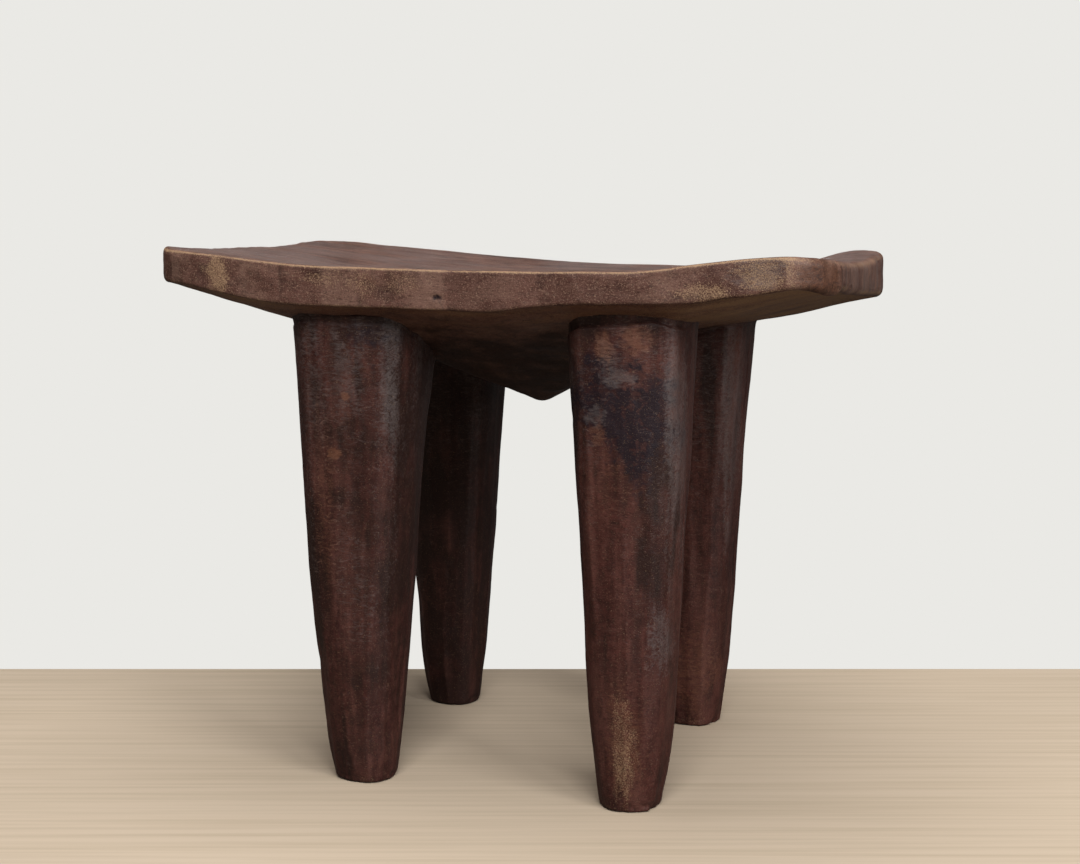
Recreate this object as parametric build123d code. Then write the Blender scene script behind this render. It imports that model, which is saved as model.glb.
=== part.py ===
from build123d import *
import math
import os

# A low four-legged stool carved from one block of dark hardwood, in millimetres.
# The origin is on the floor under the middle of the seat.  +X runs along the seat,
# to the sitter's right, +Y runs to its back and +Z is up.
# The carved block is divided where its surfaces turn: the seat slab with its hipped
# underside, and four tapering legs whose tops lie against that underside.

# Seat seen from above
seat_length = 452.0
seat_width = 296.0
side_bow = 2.0                    # how far the long sides swell outwards in the middle
right_end_hollow = 8.0            # how far the right end is cut in between its corners
right_corner_reach = 3.5          # drawn this much longer, because rounding takes it off
left_corner_radius = 40.0
right_corner_radius = 36.0

# Heights along the rim of the seat
front_rim_height = 346.0          # lowest part of the front edge
back_rim_height = 342.0           # lowest part of the back edge
dish_depth = 6.0                  # hollow across the seat, under a straight edge
shallow_dish_share = 0.3          # how much of the hollow is left at the left end
left_end_start, left_end_run = 100.0, 120.0

# Turned-up corners: how far each rises, where along X the rise starts, and its run
front_left_rise, front_left_start, front_left_run = 12.0, 80.0, 140.0
front_right_rise, front_right_start, front_right_run = 9.5, 85.0, 135.0
back_left_rise, back_left_start, back_left_run = 17.0, -30.0, 265.0
back_right_rise, back_right_start, back_right_run = 12.5, 145.0, 60.0

# Thickness of the rim
rim_thickness = 25.0
thin_rim_loss = 6.0               # how much thinner the front rim is at its right half
thin_rim_start, thin_rim_run = 10.0, 60.0
left_end_loss = 6.0               # how much thinner the rim is at the left end
left_end_thin_start, left_end_thin_run = 140.0, 75.0
back_lobe_gain = 10.0             # how much thicker the rim is at the back right corner
back_lobe_start, back_lobe_run = 100.0, 100.0

# Underside: a shallow hipped funnel with a steeper blunt pyramid in its middle
side_slope = 0.41                 # fall per millimetre inwards from the long sides
left_end_slope = 0.31             # fall per millimetre inwards from the left end
right_end_slope = 0.21
pyramid_slope = 0.56
pyramid_tip_height = 248.5
pyramid_tip_offset = 4.0          # the tip sits a little to the right of the centre
hip_softness = 3.0                # rounding of the hips, in millimetres of height
crease_softness = 2.0             # rounding of the crease around the pyramid

# Legs: rounded square sections that swell like a finger and flare under the seat
leg_foot_half_side = 20.0
leg_shaft_gain = 15.5             # half side gained between the foot and the flare
leg_shaft_power = 0.68
leg_flare = 1.8                   # further half side gained just under the seat
leg_flare_start, leg_flare_run = 220.0, 90.0
leg_reference_height = 290.0
foot_corner_share = 0.80          # corner radius as a share of the half side
top_corner_share = 0.46
foot_edge_radius = 3.0
leg_section_heights = [0.0, 45.0, 110.0, 190.0, 270.0, 335.0]

# Each leg: centre of its foot, centre of its top, and girth at the foot and at the top
legs = {
    "leg_front_left": ((-94.5, -94.0), (-90.5, -92.0), 0.99, 1.09),
    "leg_front_right": ((95.0, -95.0), (93.0, -93.0), 1.03, 0.99),
    "leg_back_left": ((-98.0, 92.0), (-96.5, 90.0), 0.97, 1.05),
    "leg_back_right": ((93.0, 97.0), (93.0, 94.0), 0.99, 1.05),
}

rim_edge_radius = 3.0             # easing of the upper and lower edges of the rim
surface_margin = 12.0             # how far the carved surfaces run past the outline
grid_step = 8.0                   # spacing of the points that the surfaces pass through
surface_tolerance = 0.05
cutter_height = 400.0             # taller than anything it cuts


def smooth_step(distance, start, run):
    """Goes from 0 to 1 over the run that begins at start, level at both ends."""
    t = min(max((distance - start) / run, 0.0), 1.0)
    return t * t * (3.0 - 2.0 * t)


def soft_max(a, b, softness):
    """The larger of two heights, with the meeting line rounded off."""
    return softness * math.log(math.exp(a / softness) + math.exp(b / softness))


def soft_min(a, b, softness):
    """The smaller of two heights, with the meeting line rounded off."""
    return -soft_max(-a, -b, softness)


def across(y):
    """0 at the front edge of the seat and 1 at the back edge."""
    return (y + seat_width / 2) / seat_width


def rim_top(x, y):
    """Height of the rim, which turns up towards all four corners."""
    front = front_rim_height
    front += front_left_rise * smooth_step(-x, front_left_start, front_left_run)
    front += front_right_rise * smooth_step(x, front_right_start, front_right_run)
    back = back_rim_height
    back += back_left_rise * smooth_step(-x, back_left_start, back_left_run)
    back += back_right_rise * smooth_step(x, back_right_start, back_right_run)
    return front + (back - front) * across(y)


def top_height(x, y):
    """Sitting surface: the rim height less a dish that grows shallow at the left end."""
    fading = smooth_step(-x, left_end_start, left_end_run)
    dish = dish_depth * (1.0 - (1.0 - shallow_dish_share) * fading)
    return rim_top(x, y) - dish * (1.0 - (2 * y / seat_width) ** 2)


def rim_bottom(x, y):
    """Height of the lower edge of the rim."""
    front = rim_thickness - thin_rim_loss * smooth_step(x, thin_rim_start, thin_rim_run)
    back = rim_thickness + back_lobe_gain * smooth_step(x, back_lobe_start, back_lobe_run)
    thickness = front + (back - front) * across(y)
    thickness -= left_end_loss * smooth_step(-x, left_end_thin_start, left_end_thin_run)
    return rim_top(x, y) - thickness


def underside_height(x, y):
    """Carved underside: the funnel, with the pyramid standing below its middle."""
    side_y = math.copysign(seat_width / 2, y)
    end_x = math.copysign(seat_length / 2, x)
    end_slope = left_end_slope if x < 0 else right_end_slope
    from_side = rim_bottom(x, side_y) - side_slope * abs(side_y - y)
    from_end = rim_bottom(end_x, y) - end_slope * abs(end_x - x)
    funnel = soft_max(from_side, from_end, hip_softness)
    along = x - pyramid_tip_offset
    ridge = soft_max(abs(along), abs(y), hip_softness)
    pyramid = pyramid_tip_height + pyramid_slope * ridge
    return soft_min(pyramid, funnel, crease_softness)


def carved_surface(height):
    """A smooth face over the whole seat that follows a height formula."""
    half_x = seat_length / 2 + surface_margin
    half_y = seat_width / 2 + surface_margin
    columns = 2 * round(half_x / grid_step) + 1
    rows = 2 * round(half_y / grid_step) + 1
    points = []
    for i in range(columns):
        x = half_x * (2 * i / (columns - 1) - 1)
        line = []
        for j in range(rows):
            y = half_y * (2 * j / (rows - 1) - 1)
            line.append((x, y, height(x, y)))
        points.append(line)
    return Face.make_surface_from_array_of_points(points, tol=surface_tolerance, min_deg=3)


def seat_outline():
    """Seat seen from above: bowed sides, a straight left end and a hollow right end."""
    left_x = -seat_length / 2
    right_x = seat_length / 2 + right_corner_reach
    y = seat_width / 2 - side_bow
    front = ThreePointArc((left_x, -y), (0, -y - side_bow), (right_x, -y))
    right = ThreePointArc((right_x, -y), (right_x - right_end_hollow, 0), (right_x, y))
    back = ThreePointArc((right_x, y), (0, y + side_bow), (left_x, y))
    left = Line((left_x, y), (left_x, -y))
    outline = make_face([front, right, back, left])
    left_corners = outline.vertices().group_by(Axis.X)[0]
    outline = fillet(left_corners, left_corner_radius)
    right_corners = outline.vertices().group_by(Axis.X)[-1]
    return fillet(right_corners, right_corner_radius)


def make_seat(top_face, underside_face):
    """The seat slab between the two carved surfaces, with its rim edges eased."""
    block = extrude(seat_outline(), cutter_height)
    above = extrude(top_face, cutter_height, dir=(0, 0, 1))
    below = extrude(underside_face, cutter_height, dir=(0, 0, -1))
    slab = block - above - below
    carved_faces = slab.faces().sort_by(Axis.Z)
    rim_edges = carved_faces[0].edges() + carved_faces[-1].edges()
    return fillet(rim_edges, rim_edge_radius)


def leg_section(height, girth):
    """Rounded square section of a leg at one height."""
    share = (height / leg_reference_height) ** leg_shaft_power
    flare = leg_flare * smooth_step(height, leg_flare_start, leg_flare_run)
    half_side = girth * (leg_foot_half_side + leg_shaft_gain * share + flare)
    corner_share = foot_corner_share + (top_corner_share - foot_corner_share) * min(share, 1.0)
    return RectangleRounded(2 * half_side, 2 * half_side, half_side * corner_share)


def make_leg(foot, top, foot_girth, top_girth, underside_face):
    """One leg: a loft through its sections, its foot eased, cut to the underside."""
    sections = []
    for height in leg_section_heights:
        share = height / leg_reference_height
        x = foot[0] + (top[0] - foot[0]) * share
        y = foot[1] + (top[1] - foot[1]) * share
        girth = foot_girth + (top_girth - foot_girth) * share
        sections.append(Pos(x, y, height) * leg_section(height, girth))
    leg = loft(sections)
    foot_edges = leg.edges().group_by(Axis.Z)[0]
    leg = fillet(foot_edges, foot_edge_radius)
    above = extrude(underside_face, cutter_height, dir=(0, 0, 1))
    return leg - above


os.makedirs("parts", exist_ok=True)

top_face = carved_surface(top_height)
underside_face = carved_surface(underside_height)

export_step(make_seat(top_face, underside_face), "parts/seat.step")
for name, (foot, top, foot_girth, top_girth) in legs.items():
    leg = make_leg(foot, top, foot_girth, top_girth, underside_face)
    export_step(leg, f"parts/{name}.step")
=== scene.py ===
import math

import bmesh
import bpy
import numpy as np
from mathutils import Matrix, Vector
from mathutils.bvhtree import BVHTree


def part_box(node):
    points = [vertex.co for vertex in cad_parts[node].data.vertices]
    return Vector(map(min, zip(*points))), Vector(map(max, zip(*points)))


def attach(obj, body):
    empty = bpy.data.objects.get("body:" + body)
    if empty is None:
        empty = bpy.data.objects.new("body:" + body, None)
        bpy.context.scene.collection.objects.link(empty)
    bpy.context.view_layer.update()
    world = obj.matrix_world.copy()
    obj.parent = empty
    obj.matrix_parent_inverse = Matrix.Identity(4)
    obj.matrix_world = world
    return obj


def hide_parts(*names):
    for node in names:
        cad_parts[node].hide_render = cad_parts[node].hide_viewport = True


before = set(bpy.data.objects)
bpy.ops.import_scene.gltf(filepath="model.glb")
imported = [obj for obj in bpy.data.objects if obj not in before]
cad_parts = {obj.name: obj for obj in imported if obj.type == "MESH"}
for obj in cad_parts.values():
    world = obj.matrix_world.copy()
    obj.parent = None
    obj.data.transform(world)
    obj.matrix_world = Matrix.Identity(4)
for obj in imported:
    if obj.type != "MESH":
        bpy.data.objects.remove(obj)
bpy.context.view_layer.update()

# A carved hardwood stool.  Each CAD solid is measured with rays, resampled on a clean grid
# of its own and then carved again in fine: knife facets, adze marks, dents and chips.
# Lengths are in metres, in the frame of the CAD.  The wood's grain runs along X.
#
# Every point also carries paint, which the wood materials read, each from 0 to 1:
#   worn_and_lit    rubbed down to light tan wood, and painted light on the rim's edges and under the rim
#   dust_and_sheen  a grey bloom, and a painted sheen on the sitting surface and the legs
#   warm    bare reddish wood, and painted light under the rim
#   shade   darkened by soot and oil, and painted shade under the seat and on sides turned from the light
#   stain   nearly black
#   tone    darker (0) or lighter (1) than the wood around it

MM = 0.001
seat_low, seat_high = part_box("seat")
seat_length = seat_high.x - seat_low.x
seat_width = seat_high.y - seat_low.y
seat_centre = (seat_low + seat_high) / 2


# ---------------- carving helpers

NOISE_CELLS = 64  # random patterns repeat after this many cells


def smooth_step(start, end, value):
    """0 before start, 1 after end, and a smooth rise between them."""
    share = np.clip((value - start) / (end - start), 0.0, 1.0)
    return share * share * (3.0 - 2.0 * share)


def lattice_noise(points, cell, seed):
    """Smooth random values from -1 to 1.  The cell is the size of one bump along each axis."""
    table = np.random.default_rng(seed).uniform(-1.0, 1.0, (NOISE_CELLS, NOISE_CELLS, NOISE_CELLS))
    place = points / np.asarray(cell, float)
    corner = np.floor(place).astype(int)
    share = place - corner
    share = share * share * (3.0 - 2.0 * share)
    total = np.zeros(len(points))
    for i in (0, 1):
        for j in (0, 1):
            for k in (0, 1):
                weight = np.ones(len(points))
                for axis, step in enumerate((i, j, k)):
                    weight = weight * (share[:, axis] if step else 1.0 - share[:, axis])
                index = (corner + (i, j, k)) % NOISE_CELLS
                total += weight * table[index[:, 0], index[:, 1], index[:, 2]]
    return total


def layered_noise(points, cell, seed):
    """Noise in three layers, each half the size and half the strength of the last."""
    total = np.zeros(len(points))
    strength = 1.0
    for layer in range(3):
        total += strength * lattice_noise(points, np.asarray(cell, float) / 2 ** layer, seed + layer)
        strength /= 2
    return total


def tool_marks(u, v, seed):
    """Shallow scoops, one per unit square of (u, v), with ridges where neighbours meet.
    0 in the middle of a scoop and about 1 on a ridge."""
    wander = 0.38  # how far a scoop lies from the middle of its square
    unevenness = 0.5  # how much shallower the shallowest scoops are
    steepness = 2.0
    far = 9.0  # higher than any scoop's edge
    rng = np.random.default_rng(seed)
    shift = rng.uniform(-wander, wander, (NOISE_CELLS, NOISE_CELLS, 2))
    level = rng.uniform(0.0, unevenness, (NOISE_CELLS, NOISE_CELLS))
    cell_u = np.floor(u).astype(int)
    cell_v = np.floor(v).astype(int)
    lowest = np.full(len(u), far)
    for i in (-1, 0, 1):
        for j in (-1, 0, 1):
            a = (cell_u + i) % NOISE_CELLS
            b = (cell_v + j) % NOISE_CELLS
            du = u - (cell_u + i + 0.5 + shift[a, b, 0])
            dv = v - (cell_v + j + 0.5 + shift[a, b, 1])
            lowest = np.minimum(lowest, steepness * (du * du + dv * dv) + level[a, b])
    return lowest


def turned_by(angles, direction):
    """Angle between each direction and one other, the short way round."""
    return np.angle(np.exp(1j * (angles - direction)))


def spot(points, centre, radii, seed, ragged=0.35):
    """1 inside an ellipsoid and 0 outside it, with a wide ragged edge."""
    noise_share = 0.45  # size of the edge's bumps, as a share of the spot
    edge_start, edge_end = 0.4, 1.4
    distance = np.sqrt((((points - np.asarray(centre)) / np.asarray(radii)) ** 2).sum(axis=1))
    edge = layered_noise(points, np.asarray(radii) * noise_share, seed)
    return 1.0 - smooth_step(edge_start, edge_end, distance + ragged * edge)


def cad_tree(node):
    """The CAD solid's surface, for measuring it with rays."""
    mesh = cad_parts[node].data
    corners = [v.co for v in mesh.vertices]
    return BVHTree.FromPolygons(corners, [p.vertices for p in mesh.polygons])


def add_object(name, data):
    """Puts a new object with this mesh, light or camera into the scene."""
    item = bpy.data.objects.new(name, data)
    bpy.context.scene.collection.objects.link(item)
    return item


def piece_from_grid(name, points, faces, paint, material, node):
    """Makes the mesh, paints its attributes and puts it in the place of its CAD solid."""
    mesh = bpy.data.meshes.new(name)
    mesh.from_pydata(points.tolist(), [], faces)
    work = bmesh.new()
    work.from_mesh(mesh)
    bmesh.ops.recalc_face_normals(work, faces=work.faces)
    work.to_mesh(mesh)
    work.free()
    mesh.polygons.foreach_set("use_smooth", [True] * len(mesh.polygons))
    for attribute, values in paint.items():
        layer = mesh.attributes.new(attribute, "FLOAT", "POINT")
        layer.data.foreach_set("value", np.clip(values, 0.0, 1.0).astype(np.float32))
    mesh.materials.append(material)
    piece = add_object(name, mesh)
    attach(piece, "root")
    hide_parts(node)
    return piece


# ---------------- legs

LEG_COLUMNS = 256
LEG_ROWS = 290
LEG_EMBED = 1.5 * MM  # how far a leg's top runs up into the seat
CAP_RINGS = (0.92, 0.75, 0.5, 0.25)  # shares of the radius, closing both ends of the leg
FOOT_LEVEL = 6 * MM  # heights where the leg's centre line is measured
TOP_LEVEL = 270 * MM
LEG_HEIGHT = 0.3  # roughly, for spacing the rows near the foot
LEG_RADIUS = 0.035  # roughly, for spacing the marks around the leg
FOOT_ROWS = (0.05, 0.3, 0.7, 1.2, 1.9, 2.8)  # millimetres up the foot's rounded edge

# Knife facets: where they lie on each side, in degrees, and how they wander up the leg
FACET_OFFSETS = (-9, 10, 30, 47, 64)
FACET_SCATTER = 4
FACET_DEPTH = 0.45 * MM
FACET_SWAY, FACET_SWAY_LENGTH = 0.75 * MM, 75 * MM
FACET_RIPPLE, FACET_RIPPLE_LENGTH = 0.35 * MM, 26 * MM
FACET_CREASE = 0.12 * MM  # softness of the ridges between facets
FACET_GROWTH = 1.4 * MM  # the most a facet may stand out of the smooth leg

# Hand work on top of the facets
LEG_UNEVENNESS = 0.30 * MM
LEG_CROSS_GRAIN = 0.05 * MM
LEG_SCOOP = 0.45 * MM
LEG_SCOOP_WIDTH, LEG_SCOOP_HEIGHT = 12 * MM, 48 * MM
LEG_DENTS = 40
CHIP_DEPTH = 2.3  # millimetres out of the foot's edge
RIDGE_REACH = 4  # grid columns to each side that a ridge is compared with
RIDGE_HEIGHT = 0.12 * MM


def section_centre(tree, middle, height):
    """Middle of a leg's section, between the hits of four rays from outside."""
    reach = 0.2
    hits = []
    for x, y in ((1, 0), (-1, 0), (0, 1), (0, -1)):
        direction = Vector((x, y, 0))
        start = Vector((middle.x, middle.y, height)) + direction * reach
        hits.append(tree.ray_cast(start, -direction)[0])
    return np.array([(hits[0].x + hits[1].x) / 2, (hits[2].y + hits[3].y) / 2])


def measure_leg(node):
    """Reads the CAD leg: its centre at the foot and top, and the grid's heights and radii."""
    reach = 0.15  # rays start this far out from the centre line
    tree = cad_tree(node)
    corner_low, corner_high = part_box(node)
    middle = (corner_low + corner_high) / 2
    foot = section_centre(tree, middle, FOOT_LEVEL)
    top = section_centre(tree, middle, TOP_LEVEL)

    def centre_at(height):
        return foot + (top - foot) * (height - FOOT_LEVEL) / (TOP_LEVEL - FOOT_LEVEL)

    def wall(angle, height):
        centre = centre_at(height)
        outward = Vector((math.cos(angle), math.sin(angle), 0.0))
        start = Vector((centre[0], centre[1], height)) + outward * reach
        hit = tree.ray_cast(start, -outward)
        return reach - hit[3]

    def cap(angle, radius, start_height):
        centre = centre_at(start_height)
        x = centre[0] + radius * math.cos(angle)
        y = centre[1] + radius * math.sin(angle)
        return tree.ray_cast(Vector((x, y, start_height)), Vector((0, 0, 1)))[0].z

    angles = np.arange(LEG_COLUMNS) * 2 * math.pi / LEG_COLUMNS
    near_foot = np.array(FOOT_ROWS) * MM / LEG_HEIGHT
    above_foot = np.linspace(near_foot[-1], 1.0, LEG_ROWS - len(FOOT_ROWS) + 1)[1:]
    shares = np.concatenate([near_foot, above_foot])
    heights = np.zeros((LEG_ROWS, LEG_COLUMNS))
    radii = np.zeros((LEG_ROWS, LEG_COLUMNS))
    for column, angle in enumerate(angles):
        # height of the top edge in this direction: a rough guess, then one from close below
        guess = cap(angle, 0.96 * wall(angle, TOP_LEVEL), TOP_LEVEL - 10 * MM)
        edge = cap(angle, wall(angle, guess - 2 * MM) - 0.4 * MM, guess - 5 * MM)
        for row, share in enumerate(shares):
            height = share * (edge + LEG_EMBED)
            heights[row, column] = height
            radii[row, column] = wall(angle, min(height, edge - 0.5 * MM))
    return foot, top, angles, heights, radii


def facet_leg(angles, heights, radii, seed):
    """Turns the smooth section into knife facets: flats whose distance wanders up the leg."""
    lane_gap = 0.7  # sets the noise of neighbouring facets apart
    least_facing = 0.3  # a facet cuts nothing that faces further away than this
    uncut = 1.0
    rng = np.random.default_rng(seed)
    lanes = []
    for side in (0, 90, 180, 270):
        for offset in FACET_OFFSETS:
            lanes.append(math.radians(side + offset + rng.uniform(-FACET_SCATTER, FACET_SCATTER)))
    faceted = np.full(radii.shape, uncut)
    for lane, direction in enumerate(lanes):
        facing = np.cos(turned_by(angles, direction))
        support = (radii * facing).max(axis=1)
        wander = np.zeros((LEG_ROWS, 3))
        wander[:, 0] = heights[:, 0]
        wander[:, 1] = lane * lane_gap
        cut = FACET_SWAY * lattice_noise(wander, (FACET_SWAY_LENGTH, 1, 1), seed + 1) - FACET_DEPTH
        cut += FACET_RIPPLE * lattice_noise(wander, (FACET_RIPPLE_LENGTH, 1, 1), seed + 2)
        flat = (support + cut)[:, None] / np.maximum(facing, least_facing)
        flat = np.where(facing > least_facing, flat, uncut)
        closer = np.minimum(faceted, flat)
        gap = np.abs(faceted - flat)
        faceted = closer - FACET_CREASE * 0.5 * np.exp(-gap / FACET_CREASE)
    return np.minimum(faceted, radii + FACET_GROWTH)


def carve_leg(points, angles, heights, radii, seed):
    """Adds uneven hand work, cross grain and small dents to the faceted radius."""
    flat = points.reshape(-1, 3)
    shape = radii.shape
    directions = np.broadcast_to(angles, shape)
    change = LEG_UNEVENNESS * layered_noise(flat, (28 * MM, 28 * MM, 60 * MM), seed + 3)
    change += LEG_CROSS_GRAIN * layered_noise(flat, (18 * MM, 9 * MM, 4 * MM), seed + 4)
    around = (directions * LEG_RADIUS / LEG_SCOOP_WIDTH).ravel()
    marks = tool_marks(around, (heights / LEG_SCOOP_HEIGHT).ravel(), seed + 5)
    change += LEG_SCOOP * (marks - 0.5)
    rng = np.random.default_rng(seed + 6)
    for _ in range(LEG_DENTS):
        angle = rng.uniform(0, 2 * math.pi)
        height = rng.uniform(0.0, 0.29)
        size = rng.uniform(1.2, 4.5) * MM
        depth = rng.uniform(0.2, 0.7) * MM
        stretch = rng.uniform(0.6, 2.2)
        aside = np.abs(turned_by(directions, angle)) * radii
        distance = (aside / size) ** 2 + ((heights - height) / (size * stretch)) ** 2
        change -= (depth * np.exp(-distance)).ravel()
    return change.reshape(shape)


def ridges(radii):
    """How far each point stands out from its neighbours around the leg: 1 on a sharp ridge
    between two facets, below 0 in a hollow."""
    steps = range(-RIDGE_REACH, RIDGE_REACH + 1)
    around = sum(np.roll(radii, step, axis=1) for step in steps) / len(steps)
    return np.clip((radii - around) / RIDGE_HEIGHT, -1.0, 1.0)


def leg_points(foot, top, angles, heights, radii):
    """Grid points around the leg's centre line."""
    share = (heights - FOOT_LEVEL) / (TOP_LEVEL - FOOT_LEVEL)
    x = foot[0] + (top[0] - foot[0]) * share + radii * np.cos(angles)
    y = foot[1] + (top[1] - foot[1]) * share + radii * np.sin(angles)
    return np.stack([x, y, heights], axis=2)


def close_grid(points, rings):
    """Closes a tube of points with flat rings at both ends; returns all points and faces."""
    rows, columns = points.shape[:2]
    layers = [points.reshape(-1, 3)]
    faces = []

    def strip(first, second):
        for a in range(columns):
            b = (a + 1) % columns
            faces.append((first + a, first + b, second + b, second + a))

    for row in range(rows - 1):
        strip(row * columns, (row + 1) * columns)
    count = rows * columns
    for end in (0, rows - 1):
        rim = points[end]
        centre = rim.mean(axis=0)
        previous = end * columns
        for ring in rings:
            layers.append(centre + (rim - centre) * ring)
            strip(previous, count)
            previous = count
            count += columns
        layers.append(centre[None, :])
        for a in range(columns):
            faces.append((previous + a, previous + (a + 1) % columns, count))
        count += 1
    return np.concatenate(layers), faces


def make_leg(node, seed, bulges, ledge, paint_leg):
    """One leg, from the CAD solid to the painted piece.  Each bulge pushes the wood out, or
    cuts it away, around one direction in degrees, at a height, over a reach, by a depth.
    The ledge is the height and depth of the step left on the front under the seat.  All
    but the direction are in millimetres."""
    foot, top, angles, heights, radii = measure_leg(node)
    for direction, height, reach, depth in bulges:
        facing = np.clip(np.cos(turned_by(angles, math.radians(direction))), 0.0, 1.0) ** 2
        radii = radii + depth * MM * facing * np.exp(-((heights - height * MM) / (reach * MM)) ** 2)
    radii = facet_leg(angles, heights, radii, seed)
    points = leg_points(foot, top, angles, heights, radii)
    flat = points.reshape(-1, 3)
    radii = radii + carve_leg(points, angles, heights, radii, seed)

    # the leg spreads a little where it meets the seat, above a ledge cut into its front
    below_seat = heights[-1] - LEG_EMBED - heights
    uneven = lattice_noise(flat, (16 * MM, 16 * MM, 1.0), seed + 7).reshape(radii.shape)
    radii = radii + (0.9 + 0.7 * uneven) * MM * np.exp(-np.maximum(below_seat, 0.0) / (2.5 * MM))
    ledge_height, ledge_depth = ledge
    ledge_line = ledge_height * MM + 1.0 * MM * uneven - 1.5 * MM * np.cos(angles)
    above_ledge = 1.0 - smooth_step(-0.8 * MM, 0.6 * MM, below_seat - ledge_line)
    radii = radii - ledge_depth * MM * above_ledge * smooth_step(0.1, 0.8, -np.sin(angles))

    # chips out of the foot's edge
    chips = layered_noise(flat, (11 * MM, 11 * MM, 9 * MM), seed + 8).reshape(radii.shape)
    near_floor = 1.0 - smooth_step(0.5 * MM, 8 * MM, heights)
    radii = radii - near_floor * smooth_step(0.1, 0.9, chips) * CHIP_DEPTH * MM
    points = leg_points(foot, top, angles, heights, radii)
    points[0, :, 2] = 0.0  # the sole is flat on the floor
    all_points, faces = close_grid(points, CAP_RINGS)

    # ridges between facets are rubbed grey, with a painted highlight, and the hollows beside them are
    # darker
    paint = paint_leg(all_points, node, seed)
    ridge = np.zeros(len(all_points))
    ridge[:radii.size] = ridges(radii).ravel()
    paint["dust_and_sheen"] = paint["dust_and_sheen"] + 0.14 * np.maximum(ridge, 0.0)
    paint["shade"] = paint["shade"] + 0.25 * np.maximum(-ridge, 0.0)
    return piece_from_grid("carved_" + node, all_points, faces, paint, leg_wood, node)


# Extra shade all over two legs: painted shade on the back left leg, which stands in the seat's shade,
# and the front left, which is darker all over
SHADED_AND_DARKER_LEGS = {"leg_back_left": 0.85, "leg_front_left": 0.50}


def paint_common_leg(points, node, seed):
    """Paint that every leg has: rubbed foot, greyer towards the seat with dust and a painted sheen, and
    painted shade just under the seat.
    """
    height = points[:, 2]
    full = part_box(node)[1].z
    noise = layered_noise(points, (14 * MM, 14 * MM, 26 * MM), seed + 20)
    blotches = layered_noise(points, (24 * MM, 24 * MM, 44 * MM), seed + 21)
    streaks = layered_noise(points, (7 * MM, 7 * MM, 130 * MM), seed + 22)
    at_foot = 1.0 - smooth_step(0.0, 12 * MM, height)
    lower_half = 1.0 - smooth_step(0.15 * full, 0.6 * full, height)
    upper_half = smooth_step(0.35 * full, 0.95 * full, height)
    # painted shade just under the seat, which keeps the light off
    shade_under_seat = smooth_step(full - 26 * MM, full - 4 * MM, height)
    shade = 0.5 * shade_under_seat
    shade = shade + 0.45 * smooth_step(0.0, 1.1, -blotches) + 0.3 * smooth_step(0.1, 0.9, streaks)
    return {
        "worn_and_lit": 0.30 * at_foot * smooth_step(-0.2, 0.8, noise),
        "stain": np.zeros(len(points)),
        "warm": 0.22 * lower_half * smooth_step(-0.4, 0.7, blotches),
        # grey upper half: dust and a painted sheen
        "dust_and_sheen": upper_half * (0.36 + 0.2 * blotches) + 0.13 * streaks,
        "shade": shade + SHADED_AND_DARKER_LEGS.get(node, 0.0),
        "tone": 0.5 + 0.5 * lattice_noise(points, (13 * MM, 13 * MM, 70 * MM), seed + 23),
    }


def add_spots(paint, points, node, seed, spots):
    """Adds spots on a leg's front.  Each is its kind of paint, its strength and, in
    millimetres, its place to the right of the leg's middle, height, half width and half
    height."""
    deep = 34 * MM  # how far a spot wraps around the leg
    corner_low, corner_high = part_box(node)
    middle = (corner_low.x + corner_high.x) / 2
    front = corner_low.y + 6 * MM
    for number, (kind, strength, aside, height, wide, tall) in enumerate(spots):
        centre = (middle + aside * MM, front, height * MM)
        mask = spot(points, centre, (wide * MM, deep, tall * MM), seed + 30 + number)
        paint[kind] = np.maximum(paint[kind], strength * mask)
    return paint


def paint_front_right_leg(points, node, seed):
    """The leg with a large dark stain near its top, which hides most of its grey bloom, a
    rubbed streak above its foot, painted shade on its left facet and a painted sheen down its right
    edge."""
    paint = paint_common_leg(points, node, seed)
    marks = [
        ("stain", 1.0, 8, 264, 36, 34),
        ("stain", 1.0, 13, 240, 19, 30),
        ("stain", 1.0, -12, 264, 24, 22),
        ("shade", 0.75, 24, 190, 16, 60),
        ("warm", 0.85, 11, 304, 12, 9),
        ("warm", 0.75, -9, 299, 7, 12),
        ("warm", 0.60, -13, 246, 6, 7),
        ("warm", 0.28, -6, 212, 16, 24),
        ("warm", 0.50, 3, 44, 16, 44),
        # painted shade on the left facet, which is turned from the light
        ("shade", 1.10, -37, 190, 12, 150),
    ]
    scuffs = [
        ("dust_and_sheen", 0.90, 0, 281, 12, 7),
        ("dust_and_sheen", 0.80, -15, 257, 8, 8),
        ("dust_and_sheen", 0.60, -7, 293, 10, 14),
        # painted sheen down the right edge
        ("dust_and_sheen", 0.75, 36, 220, 9, 120),
        ("dust_and_sheen", 0.60, 26, 112, 8, 24),
        ("worn_and_lit", 0.38, 1, 62, 7, 26),
        ("worn_and_lit", 0.50, 3, 36, 8, 30),
    ]
    paint = add_spots(paint, points, node, seed, marks)
    paint["dust_and_sheen"] = paint["dust_and_sheen"] * (1.0 - 0.7 * paint["stain"])
    return add_spots(paint, points, node, seed + 20, scuffs)


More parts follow.
